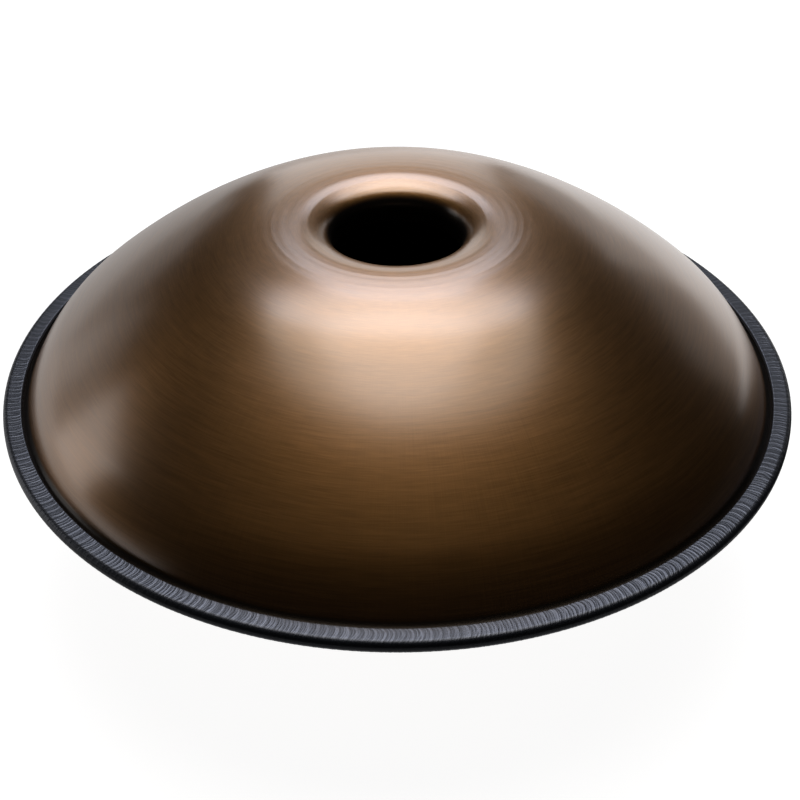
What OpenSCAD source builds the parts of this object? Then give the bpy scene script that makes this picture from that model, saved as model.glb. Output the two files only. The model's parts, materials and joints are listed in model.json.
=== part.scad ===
// Handpan: a hand-played steel drum, made of two thin shells glued together at a flat rim.
// It lies on its note side with the port side up.
// Origin: the point it rests on, the tip of the centre note's dome. +Z runs up through the port,
// and the player sits at -Y. Lengths are in millimetres and angles in degrees.
// Each shell is drawn with its own heights (named h), measured from the rim's mid-plane and
// growing away from it. The note shell is that drawing turned upside down.

/* [Rim] */
// Diameter over the edge trim
rim_d = 560; // [540:1:580]
// Radial width of the edge trim
trim_w = 13; // [12.5:0.1:14]
// Thickness of the edge trim, along Z
trim_t = 9.5; // [9:0.1:11]
// Radius of the trim's outer corners
trim_round = 4; // [2:0.1:4.2]
// Radius of the trim's lip edges
lip_edge_r = 1; // [0.6:0.1:1.2]

/* [Shells] */
// Sheet thickness of both shells
sheet_t = 1; // [0.9:0.1:1.1]
// Slope of a shell where it leaves the rim fillet
side_slope = 65.8; // [62:0.2:69]
// Slope of the flank at its foot, where the shoulder begins
flank_foot_slope = 42; // [40:0.5:44]
// Slope of the flank at its top, where the crown begins
flank_top_slope = 28; // [26:0.5:30]
// Outer radius of the fillet between flange and shell
fillet_r = 8; // [6:0.5:10]
// Radius of the shoulder between the fillet and the flank
shoulder_r = 106; // [100:1:112]
// Radius of the crown between the flank and the crest
crown_r = 160; // [152:1:166]

/* [Port] */
// Inside diameter of the port
port_d = 90; // [87:0.5:93]
// Radius of the dip between the crest and the lip
dip_r = 40; // [36:1:44]
// Radius of the lip that rolls into the port
lip_r = 14; // [12:0.5:15]
// Straight length of the neck below the lip
neck_l = 10; // [6:1:14]

/* [Notes] */
// Number of tone fields round the centre note
notes = 8; // [7:1:8]
// Width across the lowest tone field
widest_note = 122; // [112:1:122]
// Width across the highest tone field
narrowest_note = 94; // [88:1:98]
// Depth of the dimple in each tone field
dimple_depth = 4.5; // [3.5:0.1:5]
// Radius of the sphere that caps the note shell
cap_r = 400; // [380:5:440]
// Radius of the border of the centre note
centre_note_r = 95; // [90:1:98]
// Sphere radius of the centre note's dome
dome_r = 50; // [46:1:54]

/* [Hidden] */
$fn = 180;
arc_sag = 0.03;                             // how far a profile's chords may leave its arcs
past = 1;                                   // how far a cutting shape runs past the face it cuts

bronze = [0.42, 0.33, 0.27];
glue_grey = [0.75, 0.73, 0.68];
trim_black = [0.16, 0.16, 0.19];
strip_steel = [0.62, 0.63, 0.66];

// The rim: two flanges with the glue between them, pushed into the slot of the trim.
rim_r = rim_d / 2;
port_r = port_d / 2;
glue_t = 0.4;
flange_h = glue_t / 2 + sheet_t;            // outer face of a flange
flange_in_r = rim_r - 11.2;                 // where the flange turns into the fillet
flange_w = 8;
flange_out_r = flange_in_r + flange_w;
slot_h = flange_h + 0.1;                    // half the height of the slot, with room for the flanges
slot_end_r = flange_out_r + 0.3;
trim_in_r = rim_r - trim_w;

// The steel strip inside the trim: a U-shaped band about the slot, its legs cut into narrow fingers.
strip_t = 0.6;
strip_out_r = rim_r - 1.3;
strip_in_r = trim_in_r + 2.2;               // tips of the fingers
strip_h = slot_h + 1.6;                     // outer face of a leg
strip_room = 0.05;                          // gap between the strip and its pocket
strip_spine_w = 1.8;                        // radial width of the uncut band at the bend
fingers = 108;
finger_gap = 2.4;                           // opening between neighbouring fingers

// The skin of a shell from the flange inwards: fillet, shoulder, gently curved flank, crown.
shoulder_out_r = flange_in_r - fillet_r * sin(side_slope);
shoulder_out_h = flange_h + fillet_r * (1 - cos(side_slope));
shoulder_centre_r = shoulder_out_r - shoulder_r * sin(side_slope);
shoulder_centre_h = shoulder_out_h - shoulder_r * cos(side_slope);
foot_of_flank_r = shoulder_centre_r + shoulder_r * sin(flank_foot_slope);
foot_of_flank_h = shoulder_centre_h + shoulder_r * cos(flank_foot_slope);
dip_slope = 26;                             // slope at which the dip turns into the lip
lip_centre_r = port_r + lip_r;
crest_r = lip_centre_r + (dip_r - lip_r) * sin(dip_slope);      // the highest ring of the port shell
top_of_flank_r = crest_r + crown_r * sin(flank_top_slope);
flank_r = (foot_of_flank_r - top_of_flank_r) / (sin(flank_foot_slope) - sin(flank_top_slope));
flank_centre_r = foot_of_flank_r - flank_r * sin(flank_foot_slope);
flank_centre_h = foot_of_flank_h - flank_r * cos(flank_foot_slope);
crown_centre_h = flank_centre_h + (flank_r - crown_r) * cos(flank_top_slope);
crest_h = crown_centre_h + crown_r;
lip_centre_h = crest_h - dip_r + (dip_r - lip_r) * cos(dip_slope);

// The cap of the note shell: a sphere about the axis that the crown runs into.
cap_slope = asin(crest_r / (cap_r - crown_r));
cap_centre_h = crown_centre_h - (cap_r - crown_r) * cos(cap_slope);

// The centre note inside its border: a flatter ring, a fillet and the dome.
border_slope = asin(centre_note_r / cap_r);
border_h = cap_centre_h + cap_r * cos(border_slope);
ring_slope = 3;
dome_slope = 46;                            // slope at the foot of the dome
dome_fillet_r = 10;
foot_r = dome_r * sin(dome_slope);
ring_in_r = foot_r + dome_fillet_r * (sin(dome_slope) - sin(ring_slope));
ring_in_h = border_h + (centre_note_r - ring_in_r) * tan(ring_slope);
fillet_centre = [ring_in_r + dome_fillet_r * sin(ring_slope), ring_in_h + dome_fillet_r * cos(ring_slope)];
foot_h = ring_in_h + dome_fillet_r * (cos(ring_slope) - cos(dome_slope));
dome_centre_h = foot_h - dome_r * cos(dome_slope);
rim_z = dome_centre_h + dome_r;             // the rim's mid-plane, above the origin

// A tone field is a flat: a plane that cuts the flank where its slope is note_slope.
note_slope = 33;
note_r = flank_centre_r + flank_r * sin(note_slope);
note_h = flank_centre_h + flank_r * cos(note_slope);
dimple_offset = 3;                          // from the plane's touching point out to the middle of the flat
dimple_share = 0.19;                        // radius of a dimple as a share of its field's width

// Fields go up in pitch by turns to the right and left of the player, from the near side to the far side.
function note_turn(k) = (k % 2 == 0 ? 1 : -1) * (floor(k / 2) + 0.5) * 360 / notes - 90;
function note_width(k) = widest_note + (narrowest_note - widest_note) * k / (notes - 1);
function flat_depth(k) = pow(note_width(k) / 2, 2) * sin(note_slope) / (2 * note_r);
function dimple_r(k) = dimple_share * note_width(k);
function dimple_ball_r(k) = (pow(dimple_r(k), 2) + pow(dimple_depth, 2)) / (2 * dimple_depth);

// The point at slope s of an arc about [x, h]. Slope 0 is the arc's highest point.
function on_arc(x, h, r, s) = [x + r * sin(s), h + r * cos(s)];

// The points of that arc from slope a to slope b, without its first one.
function arc(x, h, r, a, b) =
    let (steps = ceil(abs(b - a) / (2 * acos(1 - arc_sag / r))))
    [for (i = [1:steps]) on_arc(x, h, r, a + (b - a) * i / steps)];

function reversed(points) = [for (i = [len(points) - 1:-1:0]) points[i]];

// The skin that both shells share, at depth t below the outside, from the flange to slope end_slope.
function side_skin(t, end_slope) = concat(
    [[flange_in_r, flange_h - t]],
    arc(flange_in_r, flange_h + fillet_r, fillet_r + t, 180, 180 + side_slope),
    arc(shoulder_centre_r, shoulder_centre_h, shoulder_r - t, side_slope, flank_foot_slope),
    arc(flank_centre_r, flank_centre_h, flank_r - t, flank_foot_slope, flank_top_slope),
    arc(crest_r, crown_centre_h, crown_r - t, flank_top_slope, end_slope)
);

// The port shell's skin: the crown comes level at the crest, bends down to the lip and rolls into the neck.
function port_skin(t) = concat(
    side_skin(t, 0),
    arc(crest_r, crest_h - dip_r, dip_r - t, 0, -dip_slope),
    arc(lip_centre_r, lip_centre_h, lip_r - t, -dip_slope, -90),
    [[port_r + t, lip_centre_h - neck_l]]
);

// The note shell's skin without its tone fields.
function note_skin(t) = concat(
    side_skin(t, cap_slope),
    arc(0, cap_centre_h, cap_r - t, cap_slope, border_slope),
    [on_arc(fillet_centre[0], fillet_centre[1], dome_fillet_r + t, 180 + ring_slope)],
    arc(fillet_centre[0], fillet_centre[1], dome_fillet_r + t, 180 + ring_slope, 180 + dome_slope),
    arc(0, dome_centre_h, dome_r - t, dome_slope, 0)
);

// The solid under the note shell's skin at depth t, with its flat side at floor_h.
// rim_points are the points of its outline between the floor and the skin.
module under_skin(t, floor_h, rim_points) {
    rotate_extrude()
        polygon(concat([[0, floor_h]], rim_points, note_skin(t)));
}

// What the tone fields take off the skin at depth t: all above each flat, and the ball of each dimple.
module tone_field_cuts(t) {
    reach = 2 * widest_note;
    for (k = [0:notes - 1])
        rotate([0, 0, note_turn(k)])
            translate([note_r, 0, note_h])
                rotate([0, note_slope, 0])
                    translate([0, 0, -flat_depth(k) - t]) {
                        translate([-reach / 2, -reach / 2, 0])
                            cube([reach, reach, reach / 2]);
                        translate([dimple_offset, 0, dimple_ball_r(k) - dimple_depth + t])
                            sphere(r = dimple_ball_r(k) + t);
                    }
}

// Port shell: the upper half, open at the port and at the rim.
module port_shell() {
    color(bronze)
        translate([0, 0, rim_z])
            rotate_extrude()
                polygon(concat(
                    [[flange_out_r, flange_h - sheet_t], [flange_out_r, flange_h]],
                    port_skin(0),
                    reversed(port_skin(sheet_t))
                ));
}

// Note shell: the lower half, with the tone fields and the centre note pressed into it.
module note_shell() {
    joint_h = flange_h - sheet_t;
    color(bronze)
        translate([0, 0, rim_z])
            mirror([0, 0, 1])
                difference() {
                    under_skin(0, joint_h, [[flange_out_r, joint_h], [flange_out_r, flange_h]]);
                    tone_field_cuts(0);
                    difference() {
                        under_skin(sheet_t, joint_h - past, [[flange_in_r, joint_h - past]]);
                        tone_field_cuts(sheet_t);
                    }
                }
}

// Rim glue: the film of adhesive that joins the two flanges all the way round.
module rim_glue() {
    color(glue_grey)
        translate([0, 0, rim_z - glue_t / 2])
            difference() {
                cylinder(r = flange_out_r, h = glue_t);
                translate([0, 0, -past])
                    cylinder(r = flange_in_r, h = glue_t + 2 * past);
            }
}

// The U of the steel strip in section, opening towards the axis. It is drawn larger by room for its pocket.
module strip_section(room = 0) {
    leg_in_h = strip_h - strip_t - room;
    leg_out_h = strip_h + room;
    tip_r = strip_in_r - room;
    bend_in_r = strip_out_r - strip_t - room;
    bend_out_r = strip_out_r + room;
    polygon([
        [tip_r, leg_in_h], [tip_r, leg_out_h], [bend_out_r, leg_out_h], [bend_out_r, -leg_out_h],
        [tip_r, -leg_out_h], [tip_r, -leg_in_h], [bend_in_r, -leg_in_h], [bend_in_r, leg_in_h]
    ]);
}

// Edge trim: a soft U-shaped profile with rounded corners, moulded round the steel strip.
module edge_trim() {
    half_t = trim_t / 2;
    corner_r = rim_r - trim_round;
    lip_r_mid = trim_in_r + lip_edge_r;
    color(trim_black)
        translate([0, 0, rim_z])
            rotate_extrude()
                difference() {
                    polygon(concat(
                        [[corner_r, half_t]],
                        arc(corner_r, half_t - trim_round, trim_round, 0, 90),
                        [[rim_r, trim_round - half_t]],
                        arc(corner_r, trim_round - half_t, trim_round, 90, 180),
                        [[lip_r_mid, -half_t]],
                        arc(lip_r_mid, lip_edge_r - half_t, lip_edge_r, 180, 270),
                        [[trim_in_r, -slot_h - lip_edge_r]],
                        arc(lip_r_mid, -slot_h - lip_edge_r, lip_edge_r, -90, 0),
                        [[slot_end_r, -slot_h], [slot_end_r, slot_h], [lip_r_mid, slot_h]],
                        arc(lip_r_mid, slot_h + lip_edge_r, lip_edge_r, 180, 270),
                        [[trim_in_r, half_t - lip_edge_r]],
                        arc(lip_r_mid, half_t - lip_edge_r, lip_edge_r, -90, 0)
                    ));
                    strip_section(strip_room);
                }
}

// Trim strip: the sprung steel band inside the edge trim that makes it grip the flanges.
module trim_strip() {
    finger_l = strip_out_r - strip_spine_w - strip_in_r;
    color(strip_steel)
        translate([0, 0, rim_z])
            difference() {
                rotate_extrude()
                    strip_section();
                for (i = [0:fingers - 1])
                    rotate([0, 0, i * 360 / fingers])
                        translate([strip_in_r - past, -finger_gap / 2, -strip_h - past])
                            cube([finger_l + past, finger_gap, 2 * (strip_h + past)]);
            }
}

port_shell();
note_shell();
rim_glue();
edge_trim();
trim_strip();
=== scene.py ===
"""Handpan, port side up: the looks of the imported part, in metres and in the part's own frame.

The two shells and the edge trim are built here as fine smooth meshes over the CAD's own measurements,
and stand for their CAD nodes. The glue and the trim's steel strip are the CAD nodes with new materials.
Heights named h are measured from the rim's mid-plane and grow away from it, as in the CAD: upwards on
the port shell and downwards on the note shell.
"""

import json
import math

import bpy
import numpy as np
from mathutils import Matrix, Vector

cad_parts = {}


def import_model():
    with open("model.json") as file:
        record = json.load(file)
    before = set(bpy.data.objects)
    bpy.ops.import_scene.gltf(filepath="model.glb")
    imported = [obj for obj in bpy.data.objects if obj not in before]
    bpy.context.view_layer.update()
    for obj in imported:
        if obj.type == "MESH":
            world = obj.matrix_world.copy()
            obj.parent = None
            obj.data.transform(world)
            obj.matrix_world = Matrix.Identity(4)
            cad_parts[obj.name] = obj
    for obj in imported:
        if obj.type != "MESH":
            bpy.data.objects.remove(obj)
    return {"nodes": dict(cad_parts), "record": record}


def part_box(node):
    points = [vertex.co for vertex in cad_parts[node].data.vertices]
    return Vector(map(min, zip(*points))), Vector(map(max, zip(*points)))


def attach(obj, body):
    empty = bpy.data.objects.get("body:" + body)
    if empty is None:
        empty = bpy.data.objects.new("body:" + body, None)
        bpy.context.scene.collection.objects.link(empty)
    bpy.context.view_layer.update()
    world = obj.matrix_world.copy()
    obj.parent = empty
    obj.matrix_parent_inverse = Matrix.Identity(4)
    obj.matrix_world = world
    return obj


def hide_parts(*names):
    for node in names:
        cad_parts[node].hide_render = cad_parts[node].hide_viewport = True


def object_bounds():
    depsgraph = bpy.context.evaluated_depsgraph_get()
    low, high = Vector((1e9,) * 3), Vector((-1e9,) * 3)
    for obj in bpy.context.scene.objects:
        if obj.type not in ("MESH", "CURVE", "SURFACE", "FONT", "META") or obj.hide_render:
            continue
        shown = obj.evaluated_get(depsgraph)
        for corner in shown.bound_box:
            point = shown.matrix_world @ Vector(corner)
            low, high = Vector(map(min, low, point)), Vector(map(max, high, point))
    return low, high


MM = 0.001
DEG = math.pi / 180
TURN = 2 * math.pi
RANDOM_SEED = 7

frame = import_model()
cad_low, cad_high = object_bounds()


# ---------------------------------------------------------------- measurements

trim_low, trim_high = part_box("edge_trim")
glue_low, glue_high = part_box("rim_glue")
port_mount = next(m for m in frame["record"]["mounts"] if m["name"] == "port")

rim_r = trim_high.x
rim_z = (trim_low.z + trim_high.z) / 2
trim_half_t = (trim_high.z - trim_low.z) / 2
trim_w = 13 * MM
trim_round_r = 4 * MM
lip_edge_r = 1 * MM
slot_end_r = glue_high.x + 0.3 * MM

sheet_t = 1 * MM
flange_h = (glue_high.z - glue_low.z) / 2 + sheet_t
slot_h = flange_h + 0.1 * MM
flange_out_r = glue_high.x
flange_in_r = flange_out_r - 8 * MM

# The side of both shells: fillet, shoulder, gently curved flank and crown.
side_slope = 65.8 * DEG
flank_foot_slope = 42 * DEG
flank_top_slope = 28 * DEG
fillet_r = 8 * MM
shoulder_r = 106 * MM
crown_r = 160 * MM

# The port: the dip inside the crest, the lip and the neck.
port_r = port_mount["dims"]["r_mm"] * MM
neck_l = port_mount["dims"]["length_mm"] * MM
dip_r = 40 * MM
dip_slope = 26 * DEG
lip_r = 14 * MM
crest_r = port_r + lip_r + (dip_r - lip_r) * math.sin(dip_slope)
crest_h = cad_high.z - rim_z

# The note shell's cap, the border of its centre note and the dome.
cap_r = 400 * MM
border_r = 95 * MM
ring_slope = 3 * DEG
dome_r = 50 * MM
dome_slope = 46 * DEG
dome_fillet_r = 10 * MM
tip_h = rim_z - cad_low.z

# The tone fields: flats that cut the flank where its slope is note_slope.
NOTES = 8
widest_note = 122 * MM
narrowest_note = 94 * MM
note_slope = 33 * DEG
dimple_offset = 3 * MM
dimple_share = 0.19
dimple_depth = 4.5 * MM


# ---------------------------------------------------------------- profiles

# A profile is an array of rows (r, h, slope). The outward normal at a row is (sin slope, cos slope).


def bend(centre_r, centre_h, radius, start, end, spacing):
    """A circular stretch from slope start to slope end. A negative radius makes it concave."""
    steps = max(2, math.ceil(abs((end - start) * radius) / spacing))
    slopes = np.linspace(start, end, steps + 1)
    r = centre_r + radius * np.sin(slopes)
    h = centre_h + radius * np.cos(slopes)
    return np.stack([r, h, slopes], axis=1)


def straight(start, end, slope, spacing):
    """A straight stretch between two (r, h) points."""
    steps = max(1, math.ceil(math.dist(start, end) / spacing))
    share = np.linspace(0, 1, steps + 1)[:, None]
    points = np.array(start) * (1 - share) + np.array(end) * share
    return np.column_stack([points, np.full(steps + 1, slope)])


def joined(*stretches):
    """The stretches as one profile, without the rows where one stretch repeats the end of the last."""
    return np.concatenate([stretches[0]] + [s[1:] for s in stretches[1:]])


def inside_bend(row, radius):
    """The centre of a circular stretch of that radius that passes a row at the row's slope."""
    r, h, slope = row
    return r - radius * math.sin(slope), h - radius * math.cos(slope)


def flank_arc():
    """Centre and radius of the flank, which meets the shoulder and the crown without a kink."""
    shoulder_centre_r = flange_in_r - (fillet_r + shoulder_r) * math.sin(side_slope)
    shoulder_centre_h = flange_h + fillet_r - (fillet_r + shoulder_r) * math.cos(side_slope)
    foot_r = shoulder_centre_r + shoulder_r * math.sin(flank_foot_slope)
    foot_h = shoulder_centre_h + shoulder_r * math.cos(flank_foot_slope)
    top_r = crest_r + crown_r * math.sin(flank_top_slope)
    radius = (foot_r - top_r) / (math.sin(flank_foot_slope) - math.sin(flank_top_slope))
    centre_r = foot_r - radius * math.sin(flank_foot_slope)
    centre_h = foot_h - radius * math.cos(flank_foot_slope)
    return centre_r, centre_h, radius


def side_profile(end_slope, spacing):
    """The skin that both shells share, from the flange's outer edge up to the slope end_slope."""
    flange = straight((flange_out_r, flange_h), (flange_in_r, flange_h), 0, spacing)
    fillet = bend(flange_in_r, flange_h + fillet_r, -fillet_r, 0, side_slope, spacing / 2)
    shoulder_centre = inside_bend(fillet[-1], shoulder_r)
    shoulder = bend(*shoulder_centre, shoulder_r, side_slope, flank_foot_slope, spacing)
    flank = bend(*flank_arc(), flank_foot_slope, flank_top_slope, spacing)
    crown_centre = inside_bend(flank[-1], crown_r)
    crown = bend(*crown_centre, crown_r, flank_top_slope, end_slope, spacing)
    return joined(flange, fillet, shoulder, flank, crown)


def port_profile(spacing):
    """The port shell's skin, which dips inside the crest and rolls over the lip into the neck."""
    side = side_profile(0, spacing)
    dip = bend(*inside_bend(side[-1], dip_r), dip_r, 0, -dip_slope, spacing)
    lip = bend(*inside_bend(dip[-1], lip_r), lip_r, -dip_slope, -math.pi / 2, spacing / 2)
    bottom = lip[-1, :2] - (0, neck_l)
    neck = straight(lip[-1, :2], bottom, -math.pi / 2, spacing)
    return joined(side, dip, lip, neck)


def note_profile(spacing):
    """The note shell's skin without its tone fields, from the flange to the tip of the dome."""
    cap_slope = math.asin(crest_r / (cap_r - crown_r))
    cap_centre_h = crest_h - crown_r - (cap_r - crown_r) * math.cos(cap_slope)
    cap = bend(0, cap_centre_h, cap_r, cap_slope, math.asin(border_r / cap_r), spacing)
    dome = bend(0, tip_h - dome_r, dome_r, dome_slope, 0, spacing)
    foot_r, foot_h = dome[0, :2]
    fillet_centre_r = foot_r + dome_fillet_r * math.sin(dome_slope)
    fillet_centre_h = foot_h + dome_fillet_r * math.cos(dome_slope)
    fillet = bend(fillet_centre_r, fillet_centre_h, -dome_fillet_r, ring_slope, dome_slope, spacing / 2)
    ring = straight(cap[-1, :2], fillet[0, :2], ring_slope, spacing)
    return joined(side_profile(cap_slope, spacing), cap, ring, fillet, dome)


def under(profile, depth):
    """The same profile at a depth below the skin."""
    r, h, slope = profile.T
    return np.stack([r - depth * np.sin(slope), h - depth * np.cos(slope), slope], axis=1)


# ---------------------------------------------------------------- mesh making


def revolved(profile, segments):
    """Points of the profile turned about the axis, as an array [row, segment, xyz], and their normals."""
    turn = np.linspace(0, TURN, segments, endpoint=False)

    def turned(outward, upward):
        return np.stack([outward * np.cos(turn), outward * np.sin(turn), upward + 0 * turn], axis=-1)

    r, h, slope = (profile[:, k : k + 1] for k in range(3))
    return turned(r, h), turned(np.sin(slope), np.cos(slope))


def run_length(profile):
    """Distance along the profile at each of its rows."""
    steps = np.hypot(*np.diff(profile[:, :2], axis=0).T)
    return np.concatenate([[0], np.cumsum(steps)])


def strip_faces(rows, segments, closed):
    """Quads between neighbouring rings of points. If closed, the last ring joins the first one too."""
    row = np.arange(rows if closed else rows - 1)[:, None]
    seg = np.arange(segments)[None, :]
    next_row = (row + 1) % rows
    next_seg = (seg + 1) % segments
    corners = [(row, seg), (row, next_seg), (next_row, next_seg), (next_row, seg)]
    return np.stack([r * segments + s for r, s in corners], axis=-1).reshape(-1, 4)


def new_piece(name, points, quads, marks, materials, material_index, sharp_angle):
    """A smooth-shaded mesh object that rides on the one rigid body.

    marks holds values at the points by name, such as run, that the materials read.
    """
    mesh = bpy.data.meshes.new(name)
    mesh.from_pydata(points.reshape(-1, 3).tolist(), [], quads.tolist())
    mesh.validate()
    for material in materials:
        mesh.materials.append(material)
    mesh.polygons.foreach_set("material_index", material_index.astype(np.int32))
    for mark, values in marks.items():
        attribute = mesh.attributes.new(mark, "FLOAT", "POINT")
        attribute.data.foreach_set("value", values.astype(np.float32).ravel())
    mesh.shade_smooth()
    mesh.set_sharp_from_angle(angle=sharp_angle)
    piece = bpy.data.objects.new(name, mesh)
    bpy.context.scene.collection.objects.link(piece)
    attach(piece, "root")
    return piece


def waviness(points, wavelength, height, waves=24):
    """A gentle random unevenness of worked sheet metal, as a height at each point."""
    random = np.random.default_rng(RANDOM_SEED)
    total = np.zeros(points.shape[:-1])
    for _ in range(waves):
        direction = random.normal(size=3)
        direction /= np.linalg.norm(direction)
        turn = TURN / (wavelength * random.uniform(0.7, 1.6))
        total += np.sin(points @ direction * turn + random.uniform(0, TURN))
    return total * height / math.sqrt(waves)


def smooth_step(x, start, end):
    """0 before start, 1 after end, and a smooth turn in between."""
    share = np.clip((x - start) / (end - start), 0, 1)
    return share * share * (3 - 2 * share)


def unshaded_share(run, slope):
    """1 on the open skin, falling to 0 in the fillet at the foot and over the lip into the neck, which are
    given painted shade.
    """
    past_fillet = smooth_step(run, 14.5 * MM, 19 * MM)
    before_neck = smooth_step(slope, -62 * DEG, -40 * DEG)
    return past_fillet * before_neck


def off_flange(profile):
    """0 on the flange, rising evenly to 1 over the first 20 mm inwards of it, at each row."""
    return np.clip((flange_in_r - profile[:, 0]) / (20 * MM), 0, 1)


def soft_positive(x, blend):
    """x where it is above blend, 0 where it is below -blend, and a smooth turn in between."""
    return np.where(x > blend, x, np.where(x < -blend, 0, (x + blend) ** 2 / (4 * blend)))


# ---------------------------------------------------------------- materials


class Shader:
    """A small helper that adds and links the nodes of one material."""

    def __init__(self, name):
        self.material = bpy.data.materials.new(name)
        self.material.use_nodes = True
        self.tree = self.material.node_tree
        self.surface = self.tree.nodes["Principled BSDF"]

    def node(self, kind, inputs=None, **settings):
        made = self.tree.nodes.new(kind)
        for key, value in settings.items():
            setattr(made, key, value)
        for key, value in (inputs or {}).items():
            self.connect(value, made.inputs[key])
        return made

    def connect(self, value, socket):
        if isinstance(value, bpy.types.NodeSocket):
            self.tree.links.new(value, socket)
        else:
            socket.default_value = value

    def place(self):
        """Where the shaded point is, in metres."""
        return self.node("ShaderNodeNewGeometry").outputs["Position"]

    def mark(self, name):
        """A value stored at the points of the mesh."""
        return self.node("ShaderNodeAttribute", attribute_name=name).outputs["Fac"]

    def vector_math(self, operation, *values, output="Vector"):
        made = self.node("ShaderNodeVectorMath", operation=operation)
        for socket, value in zip(made.inputs, values):
            self.connect(value, socket)
        return made.outputs[output]

    def math(self, operation, *values, clamp=False):
        made = self.node("ShaderNodeMath", operation=operation, use_clamp=clamp)
        for socket, value in zip(made.inputs, values):
            self.connect(value, socket)
        return made.outputs[0]

    def spread(self, value, low, high):
        """A 0 to 1 value mapped to the range low to high."""
        inputs = {"Value": value, "To Min": low, "To Max": high}
        return self.node("ShaderNodeMapRange", inputs).outputs[0]

    def smooth(self, value, start, end, low=0.0, high=1.0):
        """Goes smoothly from low to high while the value goes from start to end."""
        inputs = {"Value": value, "From Min": start, "From Max": end, "To Min": low, "To Max": high}
        return self.node("ShaderNodeMapRange", inputs, interpolation_type="SMOOTHSTEP").outputs[0]

    def noise(self, vector, scale, detail=2.0, contrast=1.0):
        """Noise from 0 to 1, with its contrast raised about the middle."""
        made = self.node("ShaderNodeTexNoise", {"Vector": vector, "Scale": scale, "Detail": detail})
        centred = self.math("SUBTRACT", made.outputs["Fac"], 0.5)
        return self.math("MULTIPLY_ADD", centred, contrast, 0.5, clamp=True)

    def mix(self, share, a, b):
        """The colour a where share is 0 and b where it is 1."""
        made = self.node("ShaderNodeMix", {"Factor": share}, data_type="RGBA")
        self.connect(a, made.inputs["A"])
        self.connect(b, made.inputs["B"])
        return made.outputs["Result"]

    def set(self, **inputs):
        """Sets inputs of the surface shader: base_color means Base Color, and so on."""
        names = {"coat_ior": "Coat IOR", "specular_ior_level": "Specular IOR Level", "ior": "IOR"}
        for key, value in inputs.items():
            self.connect(value, self.surface.inputs[names.get(key, key.replace("_", " ").title())])

    def bump(self, height, distance, strength):
        """A normal tilted by the slopes of height, whose full range stands for distance."""
        inputs = {"Height": height, "Distance": distance, "Strength": strength}
        return self.node("ShaderNodeBump", inputs).outputs["Normal"]


def round_coordinates(shader, along_scale, around_scale):
    """A vector for noise that grows by along_scale per metre of profile and around_scale per radian."""
    flat = shader.vector_math("MULTIPLY", shader.place(), (1, 1, 0))
    unit = shader.vector_math("NORMALIZE", flat)
    around = shader.vector_math("MULTIPLY", unit, (around_scale, around_scale, 0))
    run = shader.math("MULTIPLY", shader.mark("run"), along_scale)
    along = shader.node("ShaderNodeCombineXYZ", {"Z": run}).outputs[0]
    return shader.vector_math("ADD", around, along)


def bronze_material():
    """Steel under a thin bronze-brown lacquer, with dark painted shade in its fillet and inside its lip.

    It is brushed round the axis, and rubbed in patches across that.
    """
    dark_bronze = (0.195, 0.085, 0.017, 1)
    light_bronze = (0.345, 0.153, 0.034, 1)
    dull_bronze = (0.27, 0.129, 0.039, 1)
    # Painted shade: this dark colour stands in for the shade in the fillet at the foot and over the lip
    # into the neck.
    painted_shade = (0.030, 0.022, 0.016, 1)
    shader = Shader("bronze_lacquer")
    fine = shader.noise(round_coordinates(shader, 1300, 11), 1, detail=3, contrast=2.2)
    broad = shader.noise(round_coordinates(shader, 380, 3), 1, detail=3, contrast=1.8)
    brushed = shader.math("MULTIPLY_ADD", fine, 0.6, shader.math("MULTIPLY", broad, 0.4))
    rubs = shader.noise(round_coordinates(shader, 30, 420), 1, detail=2, contrast=2.2)
    rubbed = shader.math("MULTIPLY", shader.noise(shader.place(), 6, detail=2, contrast=3.0), 0.4)
    across = shader.math("MULTIPLY", shader.math("SUBTRACT", rubs, 0.5), rubbed)
    streaks = shader.math("ADD", brushed, across)
    dull = shader.math("MULTIPLY", shader.noise(shader.place(), 9, detail=3, contrast=1.5), 0.35)
    colour = shader.mix(dull, shader.mix(streaks, dark_bronze, light_bronze), dull_bronze)
    # The mark is 1 on the open skin and 0 where the painted shade covers the bronze.
    unshaded = shader.mark("unshaded")
    tangent = shader.node("ShaderNodeTangent", direction_type="RADIAL", axis="Z").outputs[0]
    shader.set(
        base_color=shader.mix(unshaded, painted_shade, colour),
        metallic=1.0,
        roughness=shader.spread(streaks, 0.355, 0.395),
        anisotropic=0.55,
        anisotropic_rotation=0.25,
        tangent=tangent,
        coat_weight=shader.spread(unshaded, 0.2, 1.0),
        coat_roughness=shader.spread(broad, 0.21, 0.24),
        coat_ior=2.2,
        normal=shader.bump(streaks, 0.03 * MM, 0.8),
    )
    return shader.material


def raw_inside_material():
    """The unlacquered inside of the shells: dark, oxidised steel."""
    shader = Shader("dark_oxidised_steel")
    cloud = shader.noise(shader.place(), 30, detail=5, contrast=1.8)
    shader.set(
        base_color=shader.mix(cloud, (0.010, 0.009, 0.009, 1), (0.028, 0.024, 0.022, 1)),
        metallic=0.6,
        roughness=shader.spread(cloud, 0.55, 0.75),
        normal=shader.bump(cloud, 0.1 * MM, 0.4),
    )
    return shader.material


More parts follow.
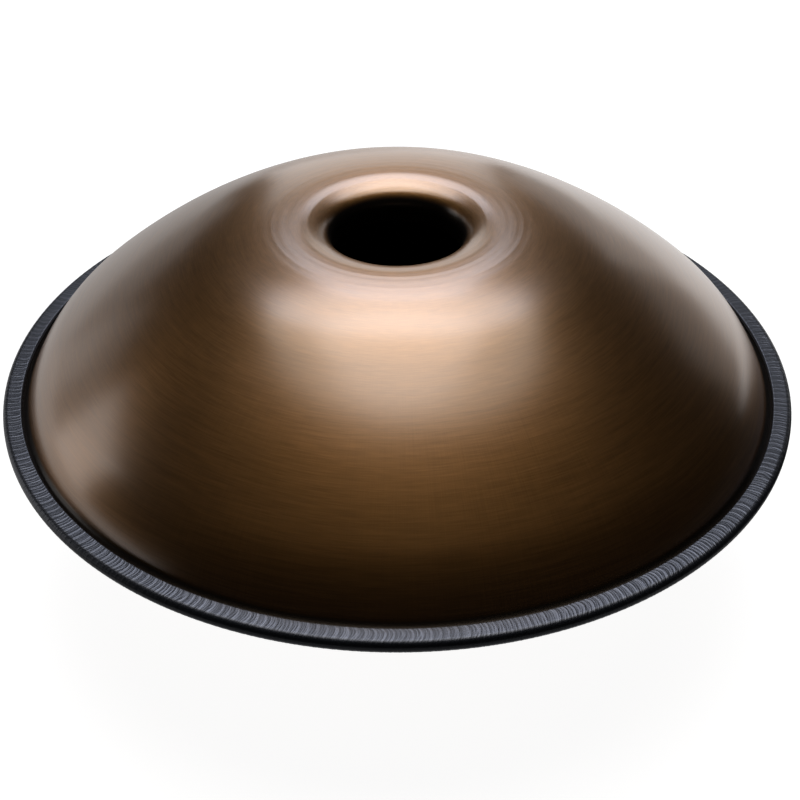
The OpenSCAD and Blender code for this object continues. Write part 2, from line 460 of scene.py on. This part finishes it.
def trim_material():
    """Near-black blue-grey soft plastic: dusty on its ribs, with painted shade between them, and with a
    fine grain.
    """
    shaded_groove_black = (0.004, 0.005, 0.006, 1)
    dusty_black = (0.014, 0.015, 0.020, 1)
    fleck_grey = (0.026, 0.027, 0.036, 1)
    shader = Shader("trim_soft_plastic")
    cells = {"Vector": shader.place(), "Scale": 1300}
    grain = shader.node("ShaderNodeTexVoronoi", cells, feature="SMOOTH_F1").outputs["Distance"]
    cloud = shader.noise(shader.place(), 45, detail=4, contrast=1.8)
    flecks = shader.math("MULTIPLY", shader.noise(shader.place(), 800, detail=2, contrast=2.5), 0.3)
    # Painted shade darkens the grooves between the ribs; the lighter crests carry real dust in patches.
    on_ribs = shader.smooth(shader.mark("rib"), 0.25, 0.75)
    dust_and_shade = shader.math("MULTIPLY", on_ribs, shader.spread(shader.mark("patch"), 0.6, 1.0))
    colour = shader.mix(flecks, shader.mix(dust_and_shade, shaded_groove_black, dusty_black), fleck_grey)
    shader.set(
        base_color=colour,
        roughness=shader.spread(shader.math("MULTIPLY", dust_and_shade, cloud), 0.36, 0.30),
        specular_ior_level=shader.spread(dust_and_shade, 0.45, 0.95),
        specular_tint=(0.84, 0.87, 1.0, 1),
        ior=1.7,
        normal=shader.bump(grain, 0.06 * MM, 0.6),
    )
    return shader.material


def glue_material():
    """Grey-beige structural adhesive with an uneven skin."""
    shader = Shader("adhesive")
    cloud = shader.noise(shader.place(), 120, detail=4, contrast=1.5)
    shader.set(
        base_color=shader.mix(cloud, (0.46, 0.42, 0.34, 1), (0.62, 0.58, 0.50, 1)),
        roughness=shader.spread(cloud, 0.5, 0.7),
        normal=shader.bump(cloud, 0.1 * MM, 0.5),
    )
    return shader.material


def strip_material():
    """Bare rolled steel strip with a fine grain and a few stains."""
    shader = Shader("rolled_steel")
    stain = shader.noise(shader.place(), 80, detail=4, contrast=1.8)
    grain = shader.noise(shader.place(), 2500, detail=1, contrast=1.5)
    shader.set(
        base_color=shader.mix(stain, (0.42, 0.42, 0.43, 1), (0.60, 0.60, 0.61, 1)),
        metallic=1.0,
        roughness=shader.spread(grain, 0.28, 0.45),
        normal=shader.bump(grain, 0.02 * MM, 0.4),
    )
    return shader.material


# ---------------------------------------------------------------- pieces


def spun_rings(profile, run):
    """The fine rings that forming the crest has left round the port, as a height at each row."""
    height = 0.035 * MM
    reach = 28 * MM
    wavelengths = (6.3 * MM, 4.1 * MM)
    near_crest = np.exp(-(((profile[:, 0] - crest_r) / reach) ** 2))
    waves = sum(np.sin(TURN * run / wavelength) for wavelength in wavelengths)
    before_lip = smooth_step(profile[:, 2], -0.6, -0.4)
    return height * near_crest * waves * before_lip


def port_shell():
    """The upper shell: one closed sheet from the flange over the crown into the neck and back inside."""
    segments = 640
    # Past this slope, in radians, the lip and the neck keep their exact shape.
    exact_slope = -1.2
    skin = port_profile(1.6 * MM)
    lining = under(port_profile(5 * MM), sheet_t)[::-1]
    profile = np.concatenate([skin, lining])
    run = np.concatenate([run_length(skin), run_length(lining)])
    points, normals = revolved(profile, segments)
    rise = waviness(points, 90 * MM, 0.05 * MM) + spun_rings(profile, run)[:, None]
    free = off_flange(profile) * (profile[:, 2] > exact_slope)
    points += normals * (rise * free[:, None])[..., None]
    points[..., 2] += rim_z
    row = np.arange(len(profile))
    inside = (row >= len(skin) - 1) & (row < len(profile) - 1)
    marks = {"run": np.repeat(run, segments), "unshaded": np.repeat(unshaded_share(run, profile[:, 2]), segments)}
    piece = new_piece(
        "port_shell_skin",
        points,
        strip_faces(len(profile), segments, closed=True),
        marks,
        [bronze, raw_inside],
        np.repeat(inside, segments),
        40 * DEG,
    )
    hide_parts("port_shell")


def note_turn(k):
    """Where tone field k sits round the axis: by turns to the player's right and left, nearest first."""
    side = 1 if k % 2 == 0 else -1
    return side * (k // 2 + 0.5) * TURN / NOTES - TURN / 4


def pressed_notes(points, depth):
    """The points of the skin at that depth, pushed down onto the tone fields' flats and dimples."""
    flat_blend = 0.35 * MM
    dimple_blend = 0.3 * MM
    up = np.array([0, 0, 1])
    flank_centre_r, flank_centre_h, flank_r = flank_arc()
    note_r = flank_centre_r + flank_r * math.sin(note_slope)
    note_h = flank_centre_h + flank_r * math.cos(note_slope)
    for k in range(NOTES):
        width = widest_note + (narrowest_note - widest_note) * k / (NOTES - 1)
        flat_depth = (width / 2) ** 2 * math.sin(note_slope) / (2 * note_r)
        dimple_r = dimple_share * width
        ball_r = (dimple_r**2 + dimple_depth**2) / (2 * dimple_depth)
        out = np.array([math.cos(note_turn(k)), math.sin(note_turn(k)), 0])
        normal = out * math.sin(note_slope) + up * math.cos(note_slope)
        downhill = out * math.cos(note_slope) - up * math.sin(note_slope)
        touch = out * note_r + up * note_h - normal * (flat_depth + depth)
        above = (points - touch) @ normal
        near = (points @ out > 0)[..., None]
        points = points - near * soft_positive(above, flat_blend)[..., None] * normal
        from_dimple = points - (touch + downhill * dimple_offset)
        across = from_dimple - (from_dimple @ normal)[..., None] * normal
        cap = dimple_depth - (across**2).sum(-1) / (2 * ball_r)
        points = points - near * soft_positive(cap, dimple_blend)[..., None] * normal
    return points


def note_shell():
    """The lower shell: the shared side, then the cap with its tone fields, centre note and dome."""
    segments = 720
    skin = note_profile(1.6 * MM)[:-1]
    lining = under(note_profile(4 * MM), sheet_t)[:-1]
    outer, outer_normals = revolved(skin, segments)
    inner, _ = revolved(lining, segments)
    rise = waviness(outer, 60 * MM, 0.08 * MM) * off_flange(skin)[:, None]
    outer = pressed_notes(outer + outer_normals * rise[..., None], 0)
    inner = pressed_notes(inner, sheet_t)
    points = np.concatenate([outer[::-1], inner])
    points[..., 2] *= -1
    points[..., 2] += rim_z
    rows = len(points)
    run = np.repeat(np.concatenate([run_length(skin)[::-1], run_length(lining)]), segments)
    inside = np.repeat(np.arange(rows - 1) >= len(skin) - 1, segments)

    # A fan of triangles closes each skin at the axis.
    poles = np.array([[0, 0, rim_z - tip_h], [0, 0, rim_z - tip_h + sheet_t]])
    outer_pole, inner_pole = rows * segments, rows * segments + 1
    first_ring = np.arange(segments)
    last_ring = first_ring + (rows - 1) * segments
    outer_fan = np.stack([np.roll(first_ring, -1), first_ring, np.full(segments, outer_pole)], axis=1)
    inner_fan = np.stack([last_ring, np.roll(last_ring, -1), np.full(segments, inner_pole)], axis=1)
    quads = strip_faces(rows, segments, closed=False)
    run = np.append(run, [run.max()] * len(poles))
    piece = new_piece(
        "note_shell_skin",
        np.concatenate([points.reshape(-1, 3), poles]),
        np.array(quads.tolist() + outer_fan.tolist() + inner_fan.tolist(), dtype=object),
        {"run": run, "unshaded": unshaded_share(run, 0)},
        [bronze, raw_inside],
        np.concatenate([inside, np.zeros(segments), np.ones(segments)]),
        40 * DEG,
    )
    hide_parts("note_shell")


def trim_profile(spacing):
    """The trim's closed U-section from its upper inner edge over the outside and back through the slot.

    Its outer side is the first part, and the number of its rows comes with the section.
    """
    half = trim_half_t
    lip_mid_r = rim_r - trim_w + lip_edge_r
    corner_r = rim_r - trim_round_r
    right = math.pi / 2
    outside = joined(
        bend(lip_mid_r, half - lip_edge_r, lip_edge_r, -right, 0, spacing / 2),
        straight((lip_mid_r, half), (corner_r, half), 0, spacing),
        bend(corner_r, half - trim_round_r, trim_round_r, 0, right, spacing / 2),
        straight((rim_r, half - trim_round_r), (rim_r, trim_round_r - half), right, spacing),
        bend(corner_r, trim_round_r - half, trim_round_r, right, 2 * right, spacing / 2),
        straight((corner_r, -half), (lip_mid_r, -half), 2 * right, spacing),
        bend(lip_mid_r, lip_edge_r - half, lip_edge_r, 2 * right, 3 * right, spacing / 2),
    )
    lower_lip = bend(lip_mid_r, -slot_h - lip_edge_r, lip_edge_r, 3 * right, 4 * right, spacing / 2)
    slot = np.array([[slot_end_r, -slot_h, 0], [slot_end_r, slot_h, 0]])
    upper_lip = bend(lip_mid_r, slot_h + lip_edge_r, lip_edge_r, 2 * right, 3 * right, spacing / 2)
    return np.concatenate([outside, lower_lip, slot, upper_lip]), len(outside)


def rib_pattern(out, turn, ribs):
    """How raised the trim's ribs are and how dusty it is, both from 0 to 1, over its width and round it.

    out goes from 0 at the trim's inner edge to 1 at its outer edge.
    """
    random = np.random.default_rng(RANDOM_SEED)

    def wander(first, last, step):
        """A smooth random curve round the rim, between about -1 and 1."""
        waves = range(first, last, step)
        total = 0
        for n in waves:
            start = random.uniform(0, TURN)
            size = random.uniform(0.5, 1)
            total = total + np.sin(n * turn + start) * size
        return total * 1.6 / math.sqrt(len(waves))

    # Each rib crosses the trim as a crescent that bulges one way round the rim.
    crescent = (2.0 + 0.7 * wander(2, 30, 3)) * np.sin(math.pi * out**0.7)
    phase = ribs * turn + 0.8 * wander(5, 90, 7) - crescent
    split = 2 * phase + 1.2 * wander(11, 120, 9) - 1.5 * out
    wrinkle = 4 * phase + 2.5 * wander(20, 200, 12) + 5 * out
    coarse = 0.5 + 0.5 * np.cos(phase)
    fine = 0.5 + 0.5 * np.cos(split)
    finest = 0.5 + 0.5 * np.cos(wrinkle)

    # Round the rim the ribs change between single and split ones.
    single = np.clip(0.5 + 0.5 * wander(4, 60, 5), 0, 1)
    raised = coarse * (0.20 + 0.25 * single) + fine * (0.45 - 0.25 * single) + finest * 0.35
    dusty = np.clip(0.5 + 0.4 * wander(6, 80, 6) + 0 * out, 0, 1)
    return raised, dusty


def edge_trim():
    """The soft U-shaped trim, with the ribs that the steel fingers inside it press through its skin."""
    ribs = 313
    segments = ribs * 14
    rib_depth = 0.25 * MM
    # The ribs reach their depth this far from the two ends of the outer side.
    fade = 1.5 * MM
    profile, outside_rows = trim_profile(0.6 * MM)
    points, normals = revolved(profile, segments)
    turn = np.linspace(0, TURN, segments, endpoint=False)[None, :]
    out = np.clip((profile[:, 0] - rim_r + trim_w) / trim_w, 0, 1)[:, None]
    raised, dusty = rib_pattern(out, turn, ribs)
    run = run_length(profile)
    to_end = np.minimum(run, run[outside_rows - 1] - run)
    level = np.abs(np.cos(profile[:, 2]))[:, None]
    weight = np.clip(to_end / fade, 0, 1)[:, None] * (0.3 + 0.7 * level)
    points -= normals * (rib_depth * (1 - raised) * weight)[..., None]
    points[..., 2] += rim_z
    quads = strip_faces(len(profile), segments, closed=True)[:, ::-1]
    piece = new_piece(
        "edge_trim_profile",
        points,
        quads,
        {"rib": raised * level**1.5, "patch": dusty},
        [trim_material()],
        np.zeros(len(quads)),
        60 * DEG,
    )
    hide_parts("edge_trim")


def cad_material(node, material):
    """Gives a CAD node that stays in the picture its own material."""
    slots = frame["nodes"][node].data.materials
    slots.clear()
    slots.append(material)


# ---------------------------------------------------------------- studio


def mirrored_glow(shader, place):
    """How bright the floor looks in the drum: lit behind it and at its left, dark in front of it.

    Under the drum it is lit too, which only the note side and the trim see.
    """
    rightward, backward, _ = shader.node("ShaderNodeSeparateXYZ", {0: place}).outputs
    behind_left = shader.math("SUBTRACT", backward, shader.math("MULTIPLY", rightward, 0.55))
    brightness = shader.smooth(rightward, -0.4, 0.4, 0.5, 0.95)
    behind = shader.math("MULTIPLY", brightness, shader.smooth(behind_left, 0.0, 0.3))
    from_axis = shader.vector_math("LENGTH", place, output="Value")
    under_drum = shader.smooth(from_axis, rim_r + 20 * MM, rim_r + 180 * MM, 0.42, 0.0)
    return shader.math("MAXIMUM", behind, under_drum)


def floor():
    """A wide pale floor.

    The camera sees it evenly white, so that the drum's shadow stays faint. From below the floor is clear,
    so that the note side can be looked at.
    """
    half = 6.0
    corners = [(-half, -half, 0), (half, -half, 0), (half, half, 0), (-half, half, 0)]
    mesh = bpy.data.meshes.new("studio_floor")
    mesh.from_pydata(corners, [], [(0, 1, 2, 3)])
    shader = Shader("pale_floor")
    place = shader.place()
    rays = shader.node("ShaderNodeLightPath").outputs
    from_below = shader.node("ShaderNodeNewGeometry").outputs["Backfacing"]
    pale = shader.mix(shader.noise(place, 3, detail=2), (0.28, 0.28, 0.28, 1), (0.32, 0.32, 0.32, 1))
    shader.set(
        base_color=shader.mix(rays["Is Glossy Ray"], pale, (0.03, 0.03, 0.03, 1)),
        roughness=0.9,
        specular_ior_level=0.0,
        emission_color=(1, 1, 1, 1),
        emission_strength=shader.spread(rays["Is Camera Ray"], mirrored_glow(shader, place), 0.94),
        alpha=shader.math("SUBTRACT", 1.0, from_below),
    )
    mesh.materials.append(shader.material)
    made = bpy.data.objects.new("studio_floor", mesh)
    bpy.context.scene.collection.objects.link(made)


def softbox(name, azimuth, elevation, width, height, glow, shape="RECTANGLE", tint=(1, 1, 1)):
    """A soft light that faces the drum from an azimuth and an elevation, in degrees.

    Azimuth is 0 behind the drum and positive to its right. width and height are the angles that the light
    fills as seen from the drum, in degrees, and glow is the brightness of its face.
    """
    distance = 4.0
    light = bpy.data.lights.new(name, "AREA")
    light.shape = shape
    light.color = tint
    light.size = 2 * distance * math.tan(width * DEG / 2)
    light.size_y = 2 * distance * math.tan(height * DEG / 2)
    area = light.size * light.size_y * (math.pi / 4 if shape == "ELLIPSE" else 1)
    light.energy = glow * math.pi * area
    level = Vector((math.sin(azimuth * DEG), math.cos(azimuth * DEG), 0))
    toward = level * math.cos(elevation * DEG) + Vector((0, 0, math.sin(elevation * DEG)))
    made = bpy.data.objects.new(name, light)
    made.location = toward * distance + Vector((0, 0, rim_z))
    made.rotation_euler = (-toward).to_track_quat("-Z", "Y").to_euler()
    made.visible_camera = False
    bpy.context.scene.collection.objects.link(made)


def lights():
    """Round lights overhead, and reflectors that stand low behind the drum and at its sides."""
    cool = (0.93, 1.0, 1.16)
    warm = (1.0, 0.97, 0.90)

    # Name, azimuth, elevation, width, height, glow.
    softbox("overhead", 7, 78, 62, 52, 1.22, "ELLIPSE", warm)
    softbox("overhead_core", 3, 82, 36, 42, 1.20, "ELLIPSE")
    softbox("overhead_back", 0, 62, 50, 30, 1.34, "ELLIPSE", cool)
    softbox("back_high", 0, 44, 19, 19, 2.25, tint=cool)
    softbox("back_strip", -2, 11, 22, 28, 1.05)
    softbox("left", -77, 9, 19, 32, 0.98)
    softbox("left_wide", -57, 8, 20, 24, 0.26)
    softbox("back_left", -38, 4, 38, 18, 0.25)
    softbox("back_right", 24, 6, 26, 24, 0.42)
    softbox("right", 46, 8, 22, 18, 0.18)


def world():
    """A dark room that the camera sees as white."""
    dark = (0.003, 0.003, 0.003, 1)
    white = (1.0, 1.0, 1.0, 1)
    made = bpy.data.worlds.new("studio")
    made.use_nodes = True
    tree = made.node_tree
    path = tree.nodes.new("ShaderNodeLightPath")
    mix = tree.nodes.new("ShaderNodeMix")
    mix.data_type = "RGBA"
    mix.inputs["A"].default_value = dark
    mix.inputs["B"].default_value = white
    tree.links.new(path.outputs["Is Camera Ray"], mix.inputs["Factor"])
    tree.links.new(mix.outputs["Result"], tree.nodes["Background"].inputs["Color"])
    bpy.context.scene.world = made


def camera():
    """The camera stands on the player's side and looks down on the port shell."""
    distance = 1.10
    elevation = 36.54 * DEG
    aim = Vector((1.9 * MM, 0, rim_z - 28.5 * MM))
    lens = bpy.data.cameras.new("camera")
    lens.sensor_width = 36
    lens.lens = 67.1
    made = bpy.data.objects.new("camera", lens)
    made.location = aim + Vector((0, -distance * math.cos(elevation), distance * math.sin(elevation)))
    made.rotation_euler = (math.pi / 2 - elevation, 0, 0)
    bpy.context.scene.collection.objects.link(made)
    bpy.context.scene.camera = made


bronze = bronze_material()
raw_inside = raw_inside_material()
port_shell()
note_shell()
edge_trim()
cad_material("rim_glue", glue_material())
cad_material("trim_strip", strip_material())
floor()
lights()
world()
camera()
bpy.context.scene.view_settings.view_transform = "Standard"
